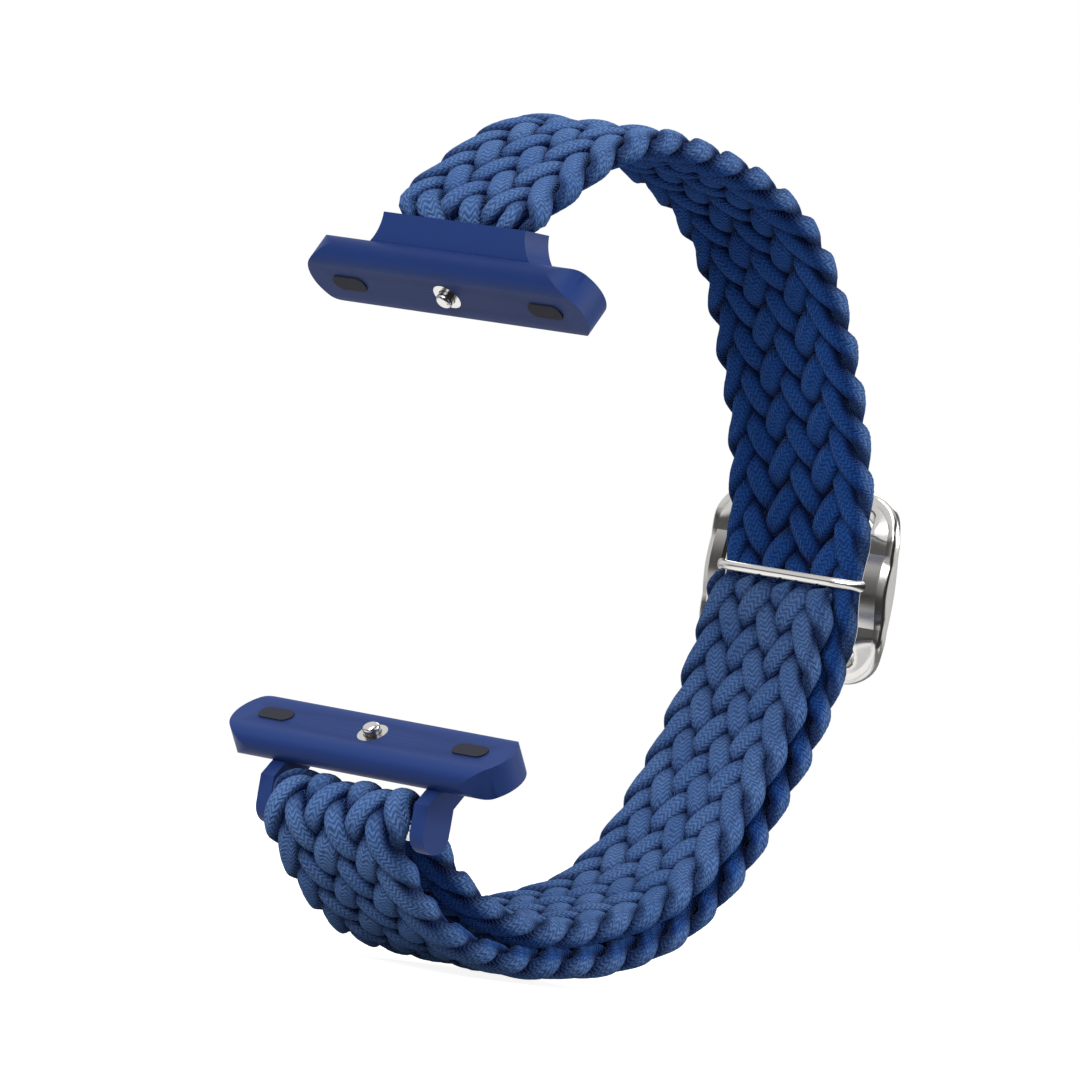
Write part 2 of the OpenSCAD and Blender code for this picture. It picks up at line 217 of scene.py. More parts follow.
# camera, in millimetres, degrees and pixels; its offsets are counted from the middle given here
view = {"azimuth": 41.0, "tilt": -0.3, "roll": 9.7, "distance": 700.0, "pixelsPerMm": 13.0,
        "right": 11.5, "up": -2.2, "middle": (0.0, -3.0, -18.1), "sensor": 36.0,
        "pixels": 1080, "clip": (0.05, 20)}


def makeCamera():
    az, el, roll = (math.radians(view[k]) for k in ("azimuth", "tilt", "roll"))
    back = Vector((math.sin(az) * math.cos(el), -math.cos(az) * math.cos(el), math.sin(el)))
    right = (-back).cross(Vector((0, 0, 1))).normalized()
    up = right.cross(-back)
    across = right * math.cos(roll) + up * math.sin(roll)
    upward = up * math.cos(roll) - right * math.sin(roll)
    spot = across * view["right"] + upward * view["up"] + back * view["distance"]
    spot += Vector(view["middle"])
    data = bpy.data.cameras.new("camera")
    data.sensor_width = view["sensor"]
    data.lens = view["pixelsPerMm"] * view["distance"] * view["sensor"] / view["pixels"]
    data.clip_start, data.clip_end = view["clip"]
    camera = addObject("camera", data)
    turn = Matrix((across, upward, back)).transposed().to_4x4()
    camera.matrix_world = Matrix.Translation(spot * mm) @ turn
    bpy.context.scene.camera = camera
    return across, upward, back


across, upward, back = makeCamera()
print("camera placed")

# braid route, the same numbers as the CAD, in millimetres
route = {"loopR": 32.0, "swell": 1.6, "crown": 0.4, "loopBack": 14.5, "slotGap": 36.2,
         "sag": 0.5, "thick": 2.15, "runGap": 0.3, "neckTop": 4.8, "socket": 2.2,
         "socketGap": 0.05, "exitR": 2.0, "exitAngle": 128.0, "shoulderAngle": 86.0,
         "frontAngle": -100.0, "innerAngle": -75.0, "swellFrom": 27.0, "swellMost": 56.5,
         "innerSwell": 0.25, "bar": (-1.4, -42.0), "barR": 0.75, "barGap": 0.05,
         "sliderAngle": 1.5, "midBar": 0.65, "endGap": 0.2,
         # how closely the route is sampled
         "lineSteps": 30, "arcSteps": 0.2, "leastSteps": 8, "loopSteps": 8, "headingStep": 0.12}
loopMid = np.array([route["loopBack"], -route["slotGap"] / 2 - route["sag"]])


def direction(angle):
    return np.array([math.cos(math.radians(angle)), math.sin(math.radians(angle))])


def cross(a, b):
    return a[0] * b[1] - a[1] * b[0]


def halfWave(k):
    return (1 - np.cos(np.pi * np.clip(k, 0, 1))) / 2


def arcPoints(centre, radius, start, stop):
    steps = max(route["leastSteps"], int(abs(stop - start) * radius * route["arcSteps"]))
    a = np.radians(np.linspace(start, stop, steps))
    return np.asarray(centre) + radius * np.stack([np.cos(a), np.sin(a)], 1)


def loopPoints(radius, start, stop, low, lowAt):
    # the loop swells away from its middle angle and falls to the lower swell at lowAt
    angle = np.linspace(start, stop, int(abs(stop - start) * route["loopSteps"]))
    turned = np.abs(angle)
    swell, swellFrom, swellMost = route["swell"], route["swellFrom"], route["swellMost"]
    near = swell * halfWave((turned - swellFrom) / (swellMost - swellFrom))
    far = swell + (low - swell) * halfWave((turned - swellMost) / (lowAt - swellMost))
    out = radius + np.where(turned < swellMost, near, far)
    a = np.radians(angle)
    return loopMid + out[:, None] * np.stack([np.cos(a), np.sin(a)], 1)


def pathLength(parts):
    return sum(np.linalg.norm(np.diff(part, axis=0), axis=1).sum() for part in parts)


def solveRoute():
    # from the socket over the shoulder, round the back and the cross bar, then up again inside
    cfg = route
    bar = np.array(cfg["bar"])
    topR = cfg["loopR"] + cfg["crown"]
    exitC = np.array([cfg["exitR"], cfg["neckTop"]])
    exitWay, shoulderWay = direction(cfg["exitAngle"]), direction(cfg["shoulderAngle"])
    exitP = exitC + cfg["exitR"] * exitWay
    shoulderP = loopMid + topR * shoulderWay
    span = shoulderP - exitP
    along = np.array([exitWay[1], -exitWay[0]])
    shoulderR = -cross(span, along) / cross(exitWay - shoulderWay, along)
    flat = span @ along + shoulderR * ((exitWay - shoulderWay) @ along)
    turnR = cfg["barR"] + cfg["barGap"] + cfg["thick"] / 2
    # the arc that leaves the loop's front and touches the turn round the bar
    frontWay = direction(cfg["frontAngle"])
    frontP = loopMid + topR * frontWay
    w = bar - frontP
    frontR = (turnR ** 2 - w @ w) / (2 * (w @ frontWay + turnR))
    frontC = frontP - frontR * frontWay
    turnStart = math.degrees(math.atan2(bar[1] - frontC[1], bar[0] - frontC[0]))
    # the arc from the turn to the inner run
    innerR = cfg["loopR"] - cfg["thick"] - cfg["runGap"]
    innerLow = cfg["crown"] + cfg["innerSwell"] * (cfg["swell"] - cfg["crown"])
    innerWay = direction(cfg["innerAngle"])
    innerP = loopMid + (innerR + innerLow) * innerWay
    w = bar - innerP
    sweepR = (turnR ** 2 - w @ w) / (2 * (w @ innerWay - turnR))
    sweepC = innerP - sweepR * innerWay
    turnStop = math.degrees(math.atan2(sweepC[1] - bar[1], sweepC[0] - bar[0])) - 360
    endBack = math.degrees(math.asin((cfg["midBar"] / 2 + cfg["endGap"]) / innerR))
    innerEnd = cfg["sliderAngle"] - endBack
    k = np.linspace(0, 1, cfg["lineSteps"])[:, None]
    socketFoot = np.array([0, cfg["neckTop"] - cfg["socket"] + cfg["socketGap"]])
    loopR, shoulder, slide = cfg["loopR"], cfg["shoulderAngle"], cfg["sliderAngle"]
    through = [
        socketFoot + k * [0, cfg["socket"] - cfg["socketGap"]],
        arcPoints(exitC, cfg["exitR"], 180, cfg["exitAngle"]),
        exitP + k * along * flat,
        arcPoints(shoulderP - shoulderR * shoulderWay, shoulderR, cfg["exitAngle"], shoulder),
        loopPoints(loopR, shoulder, slide, cfg["crown"], shoulder),
        loopPoints(loopR, slide, cfg["frontAngle"], cfg["crown"], shoulder),
        arcPoints(frontC, frontR, cfg["frontAngle"], turnStart),
        arcPoints(bar, turnR, turnStart, turnStop),
    ]
    # seen from the sweep's own middle the angles are half a turn on
    inner = [
        arcPoints(sweepC, sweepR, turnStop + 540, 360 + cfg["innerAngle"]),
        loopPoints(innerR, cfg["innerAngle"], innerEnd, innerLow, -cfg["innerAngle"]),
    ]
    marks = {"socket": pathLength(through[:1]), "grip": pathLength(through[:5]),
             "through": pathLength(through), "whole": pathLength(through + inner)}
    points = np.concatenate([part[:-1] for part in through + inner] + [inner[-1][-1:]])
    return points, marks


routePoints, length = solveRoute()
routeAt = np.concatenate([[0], np.cumsum(np.linalg.norm(np.diff(routePoints, axis=0), axis=1))])


def routeSpot(at):
    return np.stack([np.interp(at, routeAt, routePoints[:, i]) for i in (0, 1)], 1)


def follow(s):
    # middle line and outward normal of the braid, each as (y, z) rows, at distances s
    step = route["headingStep"]
    heading = routeSpot(s + step) - routeSpot(s - step)
    heading /= np.linalg.norm(heading, axis=1)[:, None]
    return routeSpot(s), np.stack([-heading[:, 1], heading[:, 0]], 1)


# braid; a pair named From or At holds a start, or a middle, and a reach, in millimetres along
# the braid from the end, the grip of the slider or the turn that the code names
braid = {"strands": 13, "pitch": 3.9, "notch": 0.85, "turnSharp": 0.997, "headingSharp": 5.0,
         "dive": 1.3, "stepLength": 0.26, "sides": 16, "plump": 0.9, "seed": 4,
         "topWidth": 15.5, "gripWidth": 14.7, "lowWidth": 14.4, "lowFrom": (9, 16),
         "innerWidth": 13.2, "innerFrom": (0, 10), "turnWide": 0.5, "turnAt": (-4, 4),
         "endWide": 0.5, "endFrom": (-22, 16), "innerShift": 0.3, "shiftFrom": (8, 12),
         "shiftBackFrom": (-16, 12), "wide": 1.16, "thin": 0.80, "lift": 0.60, "inset": 0.98,
         "topPuff": 0.92, "pressFrom": (-26, 14), "pressed": 0.93, "pressedFrom": (0, 12),
         # place, strength and reach of the squeeze under each bar of the slider
         "bars": ((0.3, 0.40, 1.15), (7.0, 0.07, 1.3), (-7.0, 0.07, 1.3)),
         "neckWidth": 12.6, "neckSqueeze": 0.6, "neckSlim": 0.1, "neckFrom": (-0.15, 1.2),
         "tailReach": 2.4, "tailLeast": 0.25, "tailSink": 0.75,
         # at the edges, in crossings before and after the strand turns
         "beforeAt": (-1.0, 0.85), "afterAt": (1.1, 0.7), "edgePinch": (0.22, 0.14),
         "tuck": (0.48, 0.24), "edgeLobe": 0.16, "lobeAt": (0, 0.5),
         "hug": 0.22, "hugReach": 8.5, "hugPower": 6, "swell": 0.16,
         "wobble": 0.08, "wobbleHeight": 0.6, "uneven": 0.06, "wander": (5.3, 8.9, 17.0),
         "wanderPart": 1.6, "edgeFrom": 0.72, "knitShift": 0.53, "keyStride": 5,
         # where the inner run begins and stops following the slider, round the loop's middle
         "blendR": 29.45, "blendAngles": (-62, -6)}


def waves(rng, s, reach):
    # slow, smooth and repeatable wander for one strand
    total = np.zeros_like(s)
    for period in braid["wander"]:
        total += rng.uniform(-1, 1) * np.sin(2 * math.pi * (s / period + rng.uniform(0, 1)))
    return total * reach / braid["wanderPart"]


def strandPath(j, s):
    # place across from -1 to 1, heading across, height from -1 to 1, and the crossings since
    # the last edge
    cfg = braid
    n = cfg["strands"]
    cycle = ((s - length["socket"] + cfg["notch"]) / cfg["pitch"] - j) / n
    sharp, headingSharp = cfg["turnSharp"], cfg["headingSharp"]
    across = -np.arcsin(sharp * np.cos(2 * math.pi * cycle)) / math.asin(sharp)
    heading = np.tanh(headingSharp * np.sin(2 * math.pi * cycle)) / math.tanh(headingSharp)
    crossings = (cycle % 0.5) * 2 * n
    # over two and under two: the height changes sides midway between a pair of crossings
    turns = np.interp(crossings, [0, 2.5, 4.5, 6.5, 8.5, 10.5, n], range(7))
    over = np.tanh(cfg["dive"] * np.sin(math.pi * turns)) / math.tanh(cfg["dive"])
    return across, heading, over, crossings


def braidWidth(s):
    cfg = braid
    fade = np.clip((s - length["socket"]) / (length["grip"] - length["socket"]), 0, 1)
    width = cfg["topWidth"] + (cfg["gripWidth"] - cfg["topWidth"]) * fade
    width += (cfg["lowWidth"] - cfg["gripWidth"]) * rise(s - length["grip"], *cfg["lowFrom"])
    inward = rise(s - length["through"], *cfg["innerFrom"])
    width += (cfg["innerWidth"] - cfg["lowWidth"]) * inward
    width += cfg["turnWide"] * bellAt(s - length["through"], *cfg["turnAt"])
    return width + cfg["endWide"] * rise(s - length["whole"], *cfg["endFrom"])


def squeezeAt(s):
    # how thick the braid is: full at the top, pressed under the slider's bars and where it lies
    # doubled
    cfg = braid
    fromGrip = s - length["grip"]
    squeeze = cfg["topPuff"] + (1 - cfg["topPuff"]) * rise(fromGrip, *cfg["pressFrom"])
    squeeze *= 1 - (1 - cfg["pressed"]) * rise(fromGrip, *cfg["pressedFrom"])
    for spot, hold, reach in cfg["bars"]:
        squeeze *= 1 - hold * bellAt(fromGrip, spot, reach)
    return squeeze


def plump(v):
    return np.sign(v) * np.abs(v) ** braid["plump"]


def strandRings(middle, normal, heading, wide, thin):
    # rings of points round a strand, turned so that its flat side lies in the braid's face
    tangent = np.gradient(middle, axis=0)
    tangent /= np.linalg.norm(tangent, axis=1)[:, None]
    spin = math.pi - math.pi / 2 * heading
    lean = np.stack([np.cos(spin), np.sin(spin) * normal[:, 0], np.sin(spin) * normal[:, 1]], 1)
    lean -= (lean * tangent).sum(1)[:, None] * tangent
    lean /= np.linalg.norm(lean, axis=1)[:, None]
    side = np.cross(tangent, lean)
    phi = np.arange(braid["sides"]) * 2 * math.pi / braid["sides"]
    sideways = wide[:, None, None] * plump(np.cos(phi))[None, :, None] * side[:, None, :]
    outward = thin[:, None, None] * plump(np.sin(phi))[None, :, None] * lean[:, None, :]
    return middle[:, None, :] + sideways + outward, np.cos(phi)


def braidStrand(rng, j, s):
    cfg = braid
    across, heading, over, crossings = strandPath(j, s)
    fromEnd = s - length["whole"]
    neck = rise(s - length["socket"], *cfg["neckFrom"])
    width = cfg["neckWidth"] + (braidWidth(s) - cfg["neckWidth"]) * neck
    squeeze = cfg["neckSqueeze"] + (squeezeAt(s) - cfg["neckSqueeze"]) * neck
    # the inner run ends thin and low
    ending = np.sqrt(1 - np.clip(1 + fromEnd / cfg["tailReach"], 0, 1) ** 2)
    tail = ending * (1 - cfg["tailLeast"]) + cfg["tailLeast"]
    squeeze *= tail
    shift = -(1 - tail) * cfg["tailSink"]
    centre, normal = follow(s)
    taper = (1 - cfg["swell"] * (1 - over ** 2)) * (1 + waves(rng, s, cfg["uneven"]))
    pastEdge = crossings - cfg["strands"] * (crossings > cfg["strands"] / 2)
    before, after = bellAt(pastEdge, *cfg["beforeAt"]), bellAt(pastEdge, *cfg["afterAt"])
    pinch = cfg["edgePinch"][0] * before + cfg["edgePinch"][1] * after
    slim = 1 - cfg["neckSlim"] + cfg["neckSlim"] * neck
    wide = cfg["wide"] * taper * slim * (1 - pinch)
    thin = cfg["thin"] * taper * squeeze
    # between the slider's rails the strands run straighter along the edges
    hug = cfg["hug"] * bellAt(s, length["grip"], cfg["hugReach"])
    across = across * (1 + hug) / (1 + hug * np.abs(across) ** cfg["hugPower"])
    x = across * (width / 2 - cfg["thin"] * cfg["inset"]) + waves(rng, s, cfg["wobble"])
    x -= np.sign(across) * (cfg["tuck"][0] * before + cfg["tuck"][1] * after)
    x += np.sign(across) * cfg["edgeLobe"] * bellAt(pastEdge, *cfg["lobeAt"])
    aside = rise(s - length["through"], *cfg["shiftFrom"])
    x += cfg["innerShift"] * aside * (1 - rise(fromEnd, *cfg["shiftBackFrom"]))
    wobble = waves(rng, s, cfg["wobble"] * cfg["wobbleHeight"])
    h = over * cfg["lift"] * squeeze + wobble + shift
    middle = np.stack([x, centre[:, 0] + h * normal[:, 0], centre[:, 1] + h * normal[:, 1]], 1)
    rings, acrossFace = strandRings(middle, normal, heading, wide, thin)
    # how far each ring point stands out of the braid: 0 deep between strands, 1 or -1 on a face
    base = np.stack([np.zeros_like(s), centre[:, 0], centre[:, 1]], 1)[:, None, :]
    outward = np.stack([np.zeros_like(s), normal[:, 0], normal[:, 1]], 1)[:, None, :]
    faceSide = ((rings - base) * outward).sum(2) - shift[:, None]
    faceSide /= ((cfg["lift"] + cfg["thin"]) * squeeze)[:, None]
    out = np.abs(rings[:, :, 0]) / (width / 2)[:, None]
    exposed = np.maximum(np.abs(faceSide), (out - cfg["edgeFrom"]) / (1 - cfg["edgeFrom"]))
    steps = np.linalg.norm(np.diff(middle, axis=0), axis=1)
    along = np.concatenate([[0], np.cumsum(steps)]) + j * cfg["knitShift"]
    along = np.repeat(along[:, None], cfg["sides"], 1)
    key = (j * cfg["keyStride"] % cfg["strands"]) / cfg["strands"]
    return rings, {"along": along, "acrossFace": np.repeat(acrossFace[None, :], len(s), 0),
                   "exposed": exposed, "strandKey": np.full_like(along, key),
                   "faceSide": faceSide}


def weave(name, sFrom, sTo):
    cfg = braid
    sides = cfg["sides"]
    # each strand is worked out over its whole length, so that the two pieces meet exactly
    grid = np.linspace(0, length["whole"], int(round(length["whole"] / cfg["stepLength"])) + 1)
    first, last = (int(np.searchsorted(grid, s - 1e-6)) for s in (sFrom, sTo))
    part = slice(first, last + 1)
    n = last + 1 - first
    points, faces = [], []
    marks = {"along": [], "acrossFace": [], "exposed": [], "strandKey": [], "faceSide": []}
    for j in range(cfg["strands"]):
        rng = np.random.default_rng(cfg["seed"] * 100 + j)
        rings, values = braidStrand(rng, j, grid)
        points.append(rings[part].reshape(-1, 3))
        for key in marks:
            marks[key].append(values[key][part].reshape(-1))
        start = j * n * sides
        faces += tubeFaces(start, n, sides, False)
        faces.append([start + k for k in reversed(range(sides))])
        faces.append([start + (n - 1) * sides + k for k in range(sides)])
    mesh = bpy.data.meshes.new(name)
    mesh.from_pydata((np.concatenate(points) * mm).tolist(), [], faces)
    mesh.shade_smooth()
    for key, values in marks.items():
        layer = mesh.attributes.new(key, "FLOAT", "POINT")
        layer.data.foreach_set("value", np.concatenate(values).astype(np.float32))
    print(name, len(mesh.vertices), "points")
    return addObject(name, mesh)


# scales are noise scales in the shader, depths are in millimetres, pairs are limits of a mask
yarn = {"lit": tint(112, 143, 190), "dyed": tint(52, 87, 145), "grooveShade": tint(30, 66, 130),
        "deep": tint(0, 11, 64), "inside": (0.22, 0.5, 0.85, 1), "sheen": tint(140, 180, 240),
        "rib": 0.39, "columns": 4, "slant": 0.85, "ribDepth": 0.11, "fluffDepth": 0.02,
        "driftScale": 700, "columnDrift": 4.0, "ribDrift": 1.2, "tip": 0.3,
        "fluffScale": 4200, "fluffPart": 0.9, "toneScale": 160, "tonePart": 0.6,
        "keyPart": 0.15, "stitchEdge": (-0.45, 0.8), "insideShadeEdge": (-0.7, -0.05),
        "sideShadeEdge": (0.62, 1.0), "sideShadePart": 0.5, "deepEdge": (0.40, 0.95)}


def yarnFinish():
    f = Finish("blue_yarn", Roughness=0.75, Specular_IOR_Level=0.02, Sheen_Weight=0.25,
               Sheen_Roughness=0.5, Sheen_Tint=yarn["sheen"])
    along, face = f.measure("along"), f.measure("acrossFace")
    exposed, key = f.measure("exposed"), f.measure("strandKey")
    place = f.place()
    drift = f.noise(place, yarn["driftScale"], detail=1.0) - 0.5
    # knitted cord: columns of small V stitches side by side round each strand
    column = face.arccos() * (2 * yarn["columns"]) + drift * yarn["columnDrift"]
    leg = column.sin() * 0.5 + 0.5
    phase = along / yarn["rib"] + leg * yarn["slant"] + drift * yarn["ribDrift"]
    rib = (phase * (2 * math.pi)).sin() * 0.5 + 0.5
    tips = (column + math.pi / 2).sin().abs()
    stitch = rib * (tips * yarn["tip"] + (1 - yarn["tip"]))
    fluff = f.noise(place, yarn["fluffScale"], detail=3.0, rough=0.6)
    tone = f.noise(place, yarn["toneScale"], detail=2.0) - 0.5
    # painted highlight: tone, per-strand key and fluff noise mix the dyed colour towards a paler
    # lit copy of it
    shade = tone * yarn["tonePart"] + (key - 0.5) * yarn["keyPart"]
    shade = shade + (fluff - 0.5) * yarn["fluffPart"] + 0.5
    colour = f.blend(shade, yarn["dyed"], yarn["lit"])
    # painted shade: the grooves between the knit's ribs take a darker colour
    colour = f.blend(stitch.between(*yarn["stitchEdge"]), yarn["grooveShade"], colour)
    # painted shade: strand faces on the strap's inside, within the loop, are darkened by a
    # multiplied colour
    inside = f.measure("faceSide").between(*yarn["insideShadeEdge"], 1.0, 0.0)
    colour = f.blend(inside, colour, yarn["inside"], "MULTIPLY")
    # painted shade: strands darken towards their sides, and most where they go under each other
    side = face.abs().between(*yarn["sideShadeEdge"]) * yarn["sideShadePart"]
    colour = f.blend(side, colour, yarn["deep"])
    colour = f.blend(exposed.between(*yarn["deepEdge"]), yarn["deep"], colour)
    f.feed("Base Color", colour)
    knit = f.bump(stitch, yarn["ribDepth"])
    f.feed("Normal", f.bump(fluff, yarn["fluffDepth"], after=knit))
    return f


braidYarn = yarnFinish()
throughBraid = weave("throughBraid", 0.0, length["through"])
dress(throughBraid, braidYarn, "strap")
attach(throughBraid, "strap_loop")
innerBraid = weave("innerBraid", length["through"], length["whole"])
dress(innerBraid, braidYarn, "strap_inner_run")
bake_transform(innerBraid)
# the polished slider mirrors the studio alone, as the photograph shows it
for piece in (throughBraid, innerBraid):
    piece.visible_glossy = False
print("braid woven")

# slider, its faces measured out from the braid's middle
slider = {"width": 19.4, "height": 15.6, "window": 14.5, "endBar": 1.6, "corner": 4.2,
          "windowCorner": 2.6, "grip": 0.08,
          # levels of the faces in the rail's middle, at its lobes and at the end bars
          "front": (-0.5, -0.12, 0.25), "back": (1.3, 1.1, 1.7), "lobe": 3.0, "bow": 1.7,
          "riseFrom": 1.4, "riseReach": 2.4, "pastRail": 4.0, "channelEdge": 0.3,
          "edge": 0.24, "rim": 0.42, "bevel": 0.8, "bevelLean": 17.0, "lean": 0.18,
          "cornerLean": 0.35, "leastDepth": 0.05,
          # middle bar
          "rod": 0.74, "barY": -1.45, "barZ": 0.25, "rodEnd": 7.9, "rodStraight": 4.5,
          "rodSink": 1.6, "rodFlare": 0.4, "flareFrom": 6.6, "flarePower": 2.2,
          # steps round a section, across a face, along a rail, a corner, half an end bar and
          # the middle bar
          "roundSteps": 4, "flatSteps": 8, "railSteps": 12, "cornerSteps": 14, "endSteps": 10,
          "rodSteps": 80, "rodSides": 20}


def railFace(z, levels):
    # bowed towards the wrist in the middle, slim at the lobes, outside the braid at the end bars
    cfg = slider
    s = abs(z)
    middle, lobe, end = levels
    if s < cfg["lobe"]:
        return mixed(middle, lobe, (s / cfg["lobe"]) ** cfg["bow"])
    past = (s - cfg["lobe"] - cfg["riseFrom"]) / cfg["riseReach"]
    return mixed(lobe, end, halfWave(past))


def railFront(x, z, fromWindow):
    # each face leans away from the window, most at the corners
    cfg = slider
    pastRail = abs(z) - cfg["pastRail"]
    lean = mixed(cfg["lean"], cfg["cornerLean"], ease(pastRail))
    plain = railFace(z, cfg["front"]) + fromWindow * lean
    if pastRail <= 0:
        return plain
    # the end bars lie outside the braid, in a channel that follows it
    outerR = route["loopR"] + route["thick"] / 2 + cfg["grip"]
    channel = math.sqrt(outerR ** 2 - z * z) - route["loopR"]
    inside = ease((cfg["window"] / 2 - abs(x)) / cfg["channelEdge"])
    return max(plain, mixed(plain, channel, inside))


def bandSection():
    # a walk round a section: share of the way across, front or back, the corner's own offset
    # and its radius
    cfg = slider
    n, flats = cfg["roundSteps"], cfg["flatSteps"]
    edge, rim, lean = cfg["edge"], cfg["rim"], cfg["bevelLean"]
    walk = [(1, 1, *direction(90 * i / n), edge) for i in range(n + 1)]
    walk += [(1 - i / flats, 1, 0, 1, edge) for i in range(1, flats)]
    walk += [(0, 1, *direction(90 + 90 * i / n), edge) for i in range(n + 1)]
    # a small chamfer at the window, a flat face, then a bevel that runs into the round outer rim
    walk += [(0, 0, -1, 0, edge), (0, 0, 0, -1, edge)]
    walk += [(i / flats, 0, 0, -1, 0) for i in range(1, flats + 1)]
    rimSweep = (90 - lean) / (2 * n)
    walk += [(1, 0, *direction(270 + lean + rimSweep * i), rim) for i in range(2 * n + 1)]
    return walk


def sliderBand():
    # pairs of outer and inner points all the way round, starting halfway up the right rail
    cfg = slider
    half, w = cfg["height"] / 2, cfg["width"] / 2
    r, q = cfg["corner"], cfg["windowCorner"]
    outerC = (w - r, half - r)
    innerC = (cfg["window"] / 2 - q, half - cfg["endBar"] - q)
    quarter = []
    for i in range(cfg["railSteps"]):
        z = outerC[1] * i / cfg["railSteps"]
        quarter.append(((w, z), (cfg["window"] / 2, min(z, innerC[1]))))
    for i in range(cfg["cornerSteps"] + 1):
        cosine, sine = direction(90 * i / cfg["cornerSteps"])
        quarter.append(((outerC[0] + r * cosine, outerC[1] + r * sine),
                        (innerC[0] + q * cosine, innerC[1] + q * sine)))
    for i in range(1, cfg["endSteps"] + 1):
        left = 1 - i / cfg["endSteps"]
        quarter.append(((outerC[0] * left, half), (innerC[0] * left, half - cfg["endBar"])))
    top = quarter + [((-a[0], a[1]), (-b[0], b[1])) for a, b in reversed(quarter[:-1])]
    return top + [((-a[0], -a[1]), (-b[0], -b[1])) for a, b in top[1:-1]]


def bandPoints(stations, walk):
    cfg = slider
    rim, lean = cfg["rim"], math.radians(cfg["bevelLean"])
    # the bevel's drop, up to where its plane meets the rim's arc
    drop = (cfg["bevel"] - rim * (1 - math.sin(lean))) * math.tan(lean)
    drop -= rim * (1 - math.cos(lean))
    points = []
    for outer, inner in stations:
        outer, inner = np.array(outer), np.array(inner)
        wide = np.linalg.norm(outer - inner)
        along = (outer - inner) / wide
        for cu, cv, du, dv, radius in walk:
            if radius:
                u = radius + (wide - 2 * radius) * cu
            else:
                u = cfg["edge"] + (wide - cfg["bevel"] - cfg["edge"]) * cu
            base = inner + along * u
            behind = railFace(base[1], cfg["back"])
            front = railFront(*base, u) + (drop if radius == rim else 0)
            front = min(front, behind - 2 * radius - cfg["leastDepth"])
            p = base + along * radius * du
            y = (behind - radius if cv else front + radius) + radius * dv
            points.append((p[0], route["loopR"] + y, p[1]))
    return points


def rodPoints():
    # a round rod whose ends sink and flare into the rails
    cfg = slider
    reach, r = cfg["rodEnd"], cfg["rod"] / 2
    path = []
    for x in np.linspace(-reach, reach, cfg["rodSteps"] + 1):
        sunk = max(0, (abs(x) - cfg["rodStraight"]) / (reach - cfg["rodStraight"]))
        path.append((x, cfg["barY"] + cfg["rodSink"] * sunk ** 2))
    path = np.array(path)
    points = []
    for i, (x, y) in enumerate(path):
        ahead = path[min(i + 1, len(path) - 1)] - path[max(i - 1, 0)]
        ahead = ahead / np.linalg.norm(ahead)
        flare = max(0, (abs(x) - cfg["flareFrom"]) / (reach - cfg["flareFrom"]))
        tall = r + cfg["rodFlare"] * flare ** cfg["flarePower"]
        for k in range(cfg["rodSides"]):
            cosine, sine = direction(360 * k / cfg["rodSides"])
            off = r * cosine
            points.append((x - ahead[1] * off, route["loopR"] + y + ahead[0] * off,
                           cfg["barZ"] + tall * sine))
    return points


def makeSlider():
    stations, walk = sliderBand(), bandSection()
    m, n, sides, rings = len(walk), len(stations), slider["rodSides"], slider["rodSteps"] + 1
    points = bandPoints(stations, walk) + rodPoints()
    start, last = m * n, len(points) - sides
    faces = tubeFaces(0, n, m, True) + tubeFaces(start, rings, sides, False)
    faces.append([start + k for k in reversed(range(sides))])
    faces.append([last + k for k in range(sides)])
    turn = Matrix.Rotation(math.radians(route["sliderAngle"]), 3, "X")
    shift = Vector((0, *loopMid))
    mesh = bpy.data.meshes.new("sliderFrame")
    mesh.from_pydata([(turn @ Vector(p) + shift) * mm for p in points], [], faces)
    # sharp across the rails at the lobes, and along the chamfers and the bevel
    creased = [math.isclose(abs(outer[1]), slider["lobe"]) for outer, inner in stations]
    chamfered = [cv == 0 and (radius == slider["edge"] or (radius == 0 and cu == 1))
                 for cu, cv, du, dv, radius in walk]
    for edge in mesh.edges:
        p, q = edge.vertices
        if max(p, q) < start:
            edge.use_edge_sharp = creased[p // m] if p // m == q // m else chamfered[p % m]
    bm = bmesh.new()
    bm.from_mesh(mesh)
    bmesh.ops.recalc_face_normals(bm, faces=bm.faces)
    bm.to_mesh(mesh)
    bm.free()
    mesh.shade_smooth()
    return addObject("sliderFrame", mesh)


steel = {"haze": 420, "hair": 9000, "stretch": (0.12, 1.0, 1.0), "dip": 10, "hazeRough": 0.07,
         "hairRough": 0.05, "polished": (208, 206, 203), "drawn": (150, 152, 158)}


def steelFinish(name, base, rough, scratch):
    f = Finish(name, Metallic=1.0, Specular_IOR_Level=0.5)
    place = f.place()
    haze = f.noise(place, steel["haze"], detail=3.0)
    stretched = f.add("ShaderNodeMapping", None, {"Vector": place, "Scale": steel["stretch"]})
    hair = f.noise(stretched, steel["hair"], detail=2.0)
    f.feed("Base Color", f.blend(haze, tint(*[c - steel["dip"] for c in base]), tint(*base)))
    f.feed("Roughness", haze * steel["hazeRough"] + hair * steel["hairRough"] + rough)
    f.feed("Normal", f.bump(hair, scratch))
    return f


polished = steelFinish("polished_steel", steel["polished"], rough=0.1, scratch=0.0006)
springSteel = steelFinish("spring_steel", steel["drawn"], rough=0.24, scratch=0.002)
sliderFrame = makeSlider()
dress(sliderFrame, polished, "slider_frame")
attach(sliderFrame, "slider")
print("slider made")

# connectors and small parts
coat = {"face": tint(27, 49, 104), "shade": tint(20, 42, 94), "edge": tint(44, 68, 128),
        "grainScale": 7000, "cloudScale": 180, "cloudPart": 0.35, "convexEdgeFrom": (0.52, 0.60),
        "convexEdgePart": 0.5, "rough": 0.42, "grainRough": 0.10, "cloudRough": 0.06,
        "grain": 0.006, "bevel": 0.16, "bevelSteps": 3, "bevelAngle": 35}
rubber = {"dark": tint(22, 24, 34), "light": tint(34, 37, 52), "grainScale": 5200,
          "rough": 0.66, "grainRough": 0.15, "grain": 0.01}


